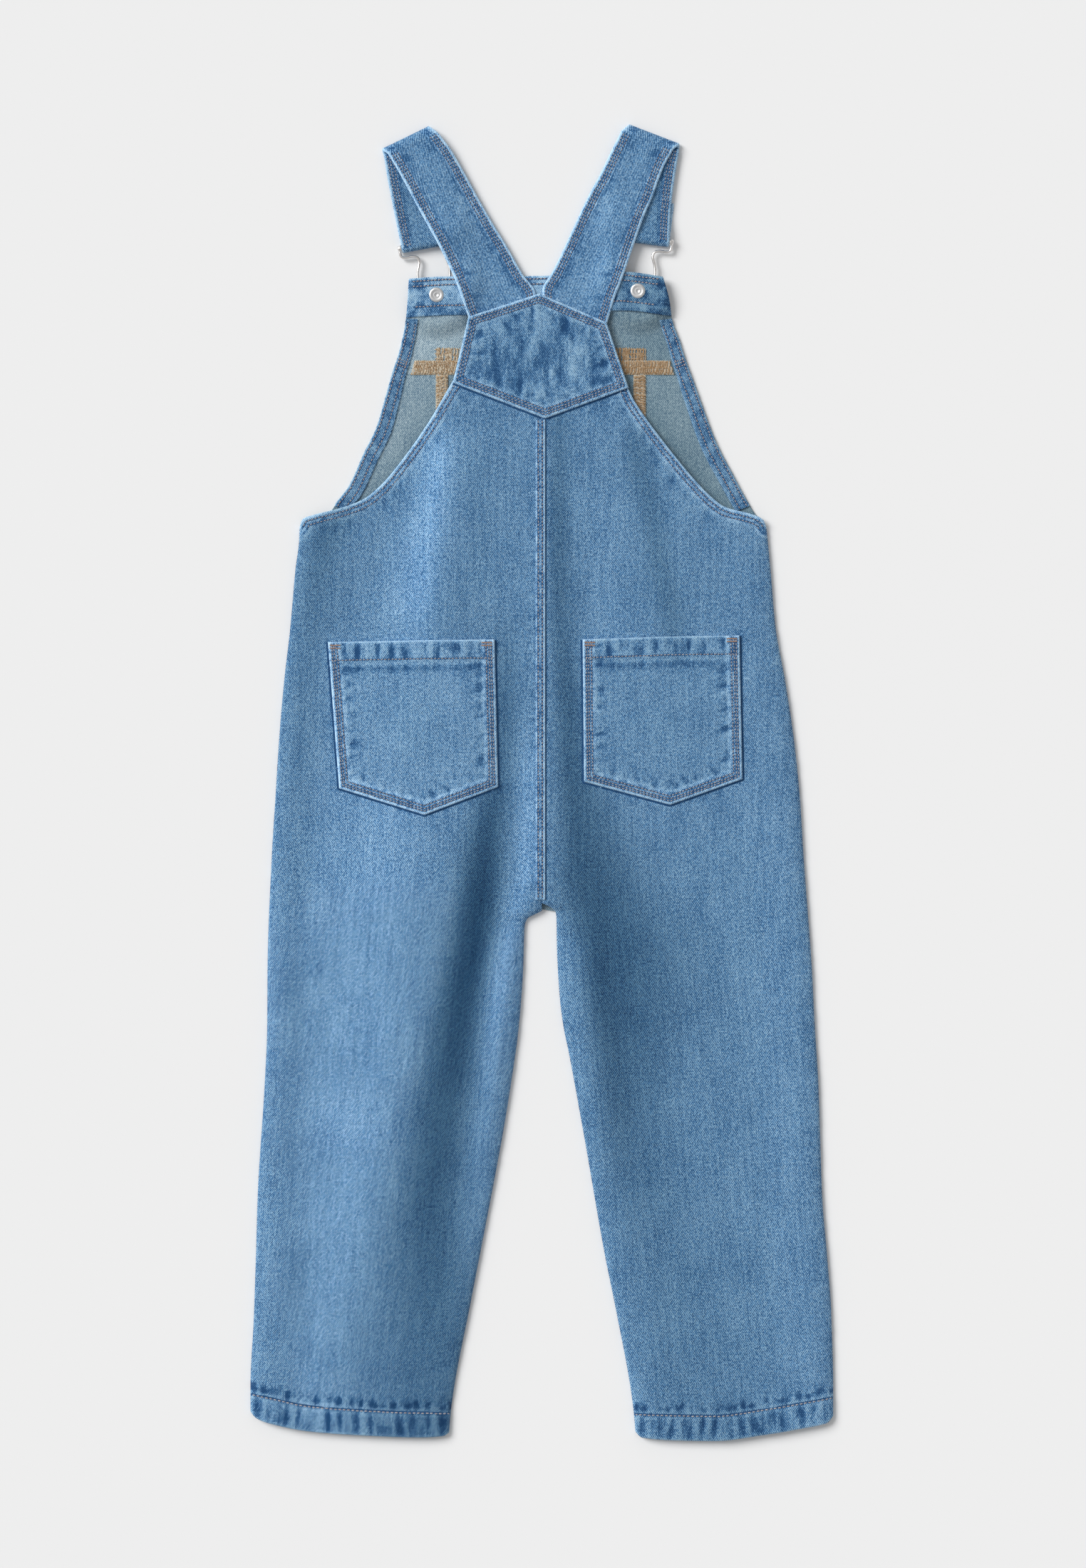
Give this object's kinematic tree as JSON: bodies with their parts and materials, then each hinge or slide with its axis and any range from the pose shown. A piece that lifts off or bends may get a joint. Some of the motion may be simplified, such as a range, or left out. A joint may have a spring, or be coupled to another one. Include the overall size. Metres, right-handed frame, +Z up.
{
  "type": "denim overalls",
  "caption": "Child's denim bib overalls laid flat on their front: back leg panels, yoke, patch pockets, folded straps and wire buckles.",
  "frame": {"origin": "middle of the garment's footprint on the surface it lies on", "axes": "+Z up from the surface, +Y from the leg hems to the straps, +X to the right of someone who looks down on the back"},
  "size_m": [0.3594, 0.8118, 0.0089],
  "materials": {
    "denim": "washed mid-blue denim, face side",
    "denim_inside": "pale grey-blue wrong side of the denim",
    "overlock_thread": "matt ochre overlock thread",
    "metal": "satin nickel-plated steel"
  },
  "bodies": {
    "root": {"front_left": "denim_inside", "front_right": "denim_inside", "bib": "denim_inside", "bib_top_hem": "denim", "armhole_facing_left": "denim", "armhole_facing_right": "denim", "waist_seam": "overlock_thread", "front_seam_left": "overlock_thread", "front_seam_right": "overlock_thread", "tack_button_left": "metal", "tack_button_right": "metal", "rivet_back_left": "metal", "rivet_back_right": "metal", "buckle_wire_left": "metal", "buckle_wire_right": "metal", "strap_left": "denim", "strap_right": "denim", "back_left": "denim", "back_right": "denim", "armhole_hem_left": "denim", "armhole_hem_right": "denim", "leg_hem_front_left": "denim_inside", "leg_hem_front_right": "denim_inside", "leg_hem_back_left": "denim_inside", "leg_hem_back_right": "denim_inside", "pocket_left": "denim", "pocket_right": "denim", "centre_back_seam": "denim", "yoke": "denim"}
  },
  "joints": []
}
